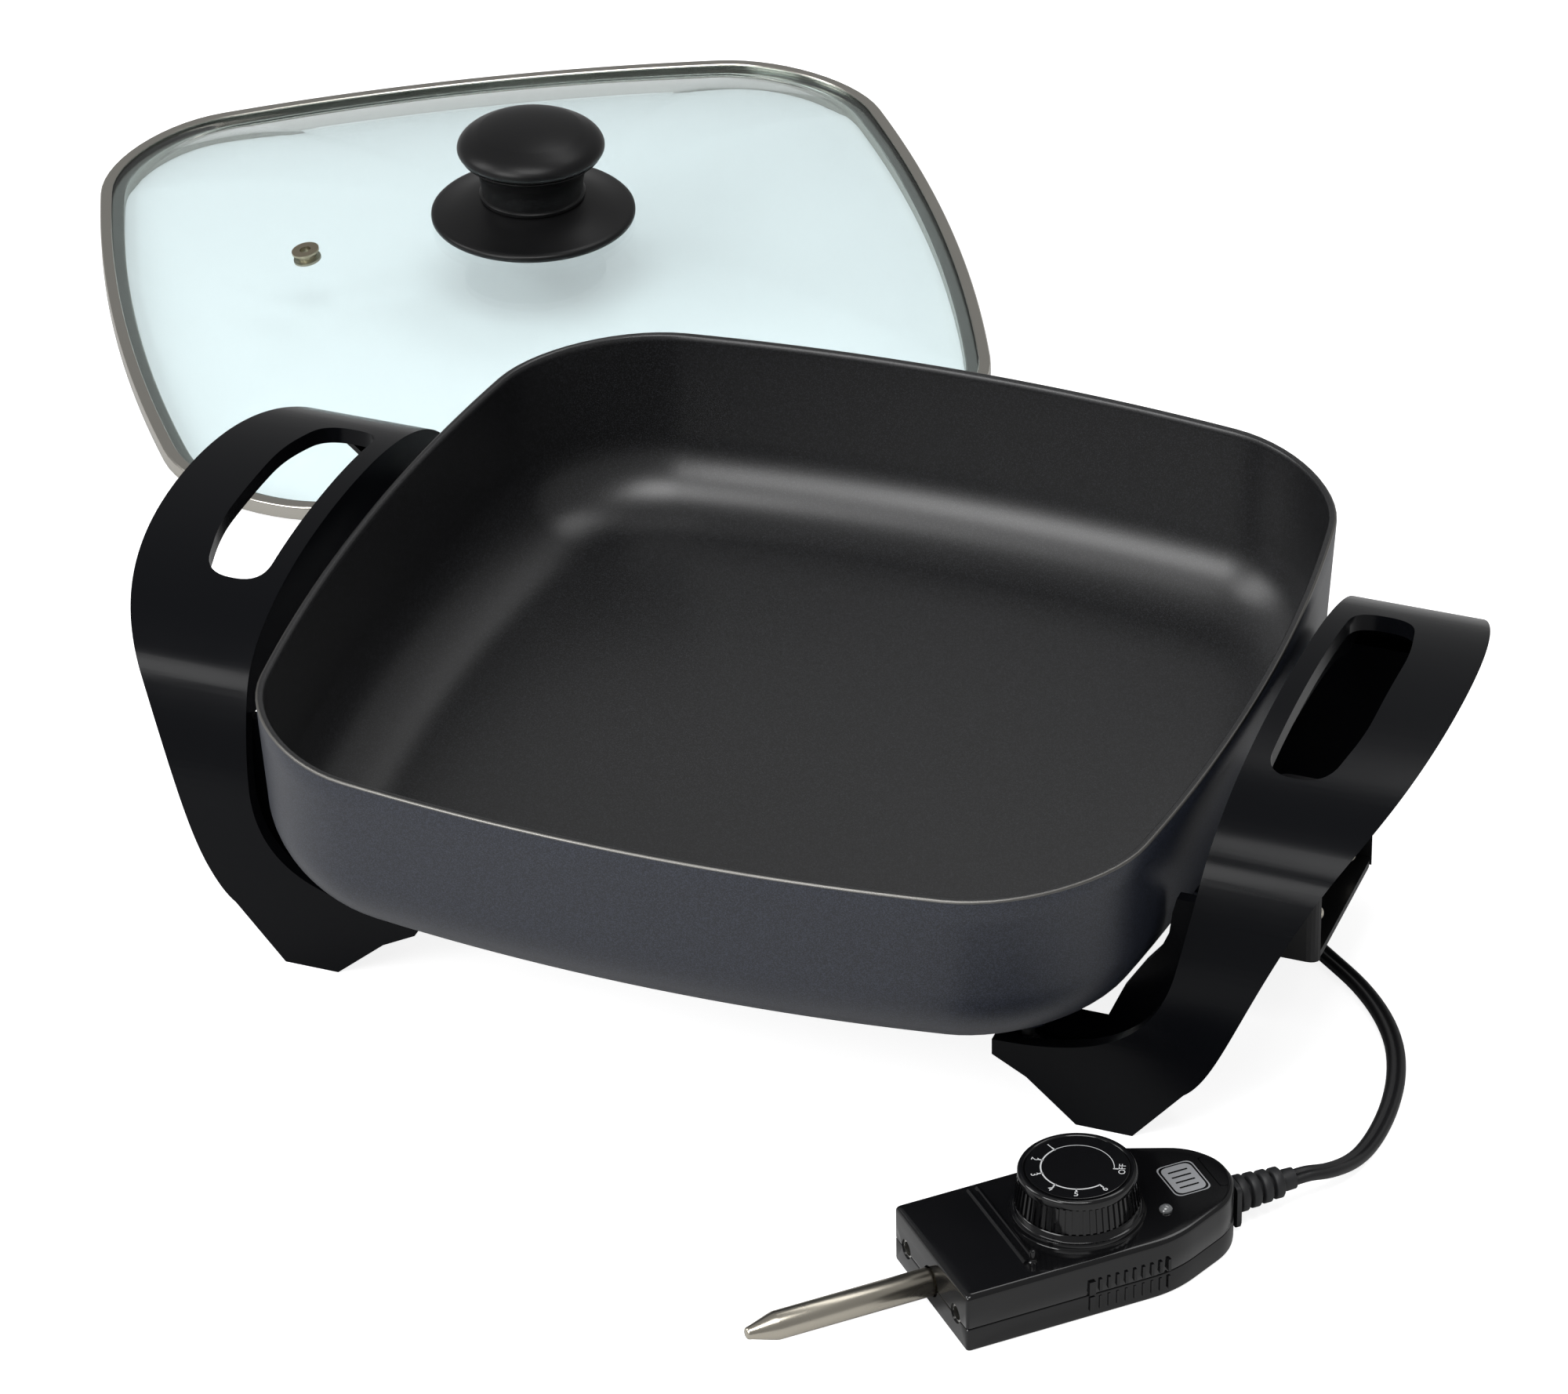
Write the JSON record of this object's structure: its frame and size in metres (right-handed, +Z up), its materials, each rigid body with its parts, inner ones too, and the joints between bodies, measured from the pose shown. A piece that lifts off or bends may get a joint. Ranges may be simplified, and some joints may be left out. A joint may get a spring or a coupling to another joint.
{
  "type": "electric skillet",
  "caption": "Square electric skillet on black side handles, with its glass lid and its plug-in thermostat control and cord laid beside it.",
  "frame": {"origin": "on the table under the middle of the pan", "axes": "+Z up, +X from the pan's middle to the handle with the heating socket, -Y towards the viewer's side where the control lies"},
  "size_m": [0.6191, 0.7407, 0.1115],
  "materials": {
    "pan_metal": "satin, non-stick inside",
    "element_sheath": "heat-darkened",
    "ceramic": "matte",
    "terminal_metal": "satin",
    "black_plastic": "semi-gloss",
    "zinc_steel": "zinc plated",
    "tinted_glass": "clear, slightly green",
    "rim_steel": "satin with a bright fold",
    "bright_steel": "bright",
    "knob_plastic": "satin, fine grain",
    "gloss_plastic": "gloss",
    "probe_steel": "satin",
    "brass": "satin",
    "phenolic_board": "matte",
    "lens": "clear",
    "lamp_glow": "clear",
    "cord_rubber": "satin",
    "dial_print": "gloss, white scale"
  },
  "bodies": {
    "skillet": {"pan": "pan_metal", "probe_block": "pan_metal", "heating_element": "element_sheath", "terminal_insulators": "ceramic", "terminal_pins": "terminal_metal", "socket_guard": "black_plastic", "guard_screws": "zinc_steel", "left_handle": "black_plastic", "right_handle": "black_plastic", "left_handle_screws": "zinc_steel", "right_handle_screws": "zinc_steel"},
    "lid": {"lid_glass": "tinted_glass", "lid_rim": "rim_steel", "vent_grommet": "bright_steel", "knob_cap": "knob_plastic", "knob_neck": "knob_plastic", "knob_flange": "knob_plastic", "knob_washer": "bright_steel", "knob_screw": "zinc_steel"},
    "control": {"control_upper_shell": "gloss_plastic", "control_lower_shell": "gloss_plastic", "probe_sheath": "probe_steel", "probe_collar": "probe_steel", "contact_sockets": "brass", "thermostat_base": "phenolic_board", "bimetal_blade": "brass", "contact_blades": "brass", "push_rod": "ceramic", "indicator_lens": "lens", "indicator_lamp": "lamp_glow", "shell_screws": "zinc_steel", "strain_relief": "cord_rubber", "cord": "cord_rubber", "cord_coil": "cord_rubber", "cord_tie": "cord_rubber", "plug": "cord_rubber", "plug_blades": "brass"},
    "dial": {"dial_knob": "gloss_plastic", "dial_disc": "dial_print", "dial_shaft": "bright_steel"}
  },
  "joints": [
    {"name": "lid_lift", "type": "slide", "parent": "skillet", "child": "lid", "axis": [0, 0, 1], "range_m": [0, 0.08]},
    {"name": "control_lift", "type": "slide", "parent": "skillet", "child": "control", "axis": [0, 0, 1], "range_m": [0, 0.02]},
    {"name": "dial_turn", "type": "hinge", "parent": "control", "child": "dial", "pos_m": [0.14438, -0.16271, 0.024], "axis": [0, 0, 1], "range_deg": [-72, 244]}
  ]
}
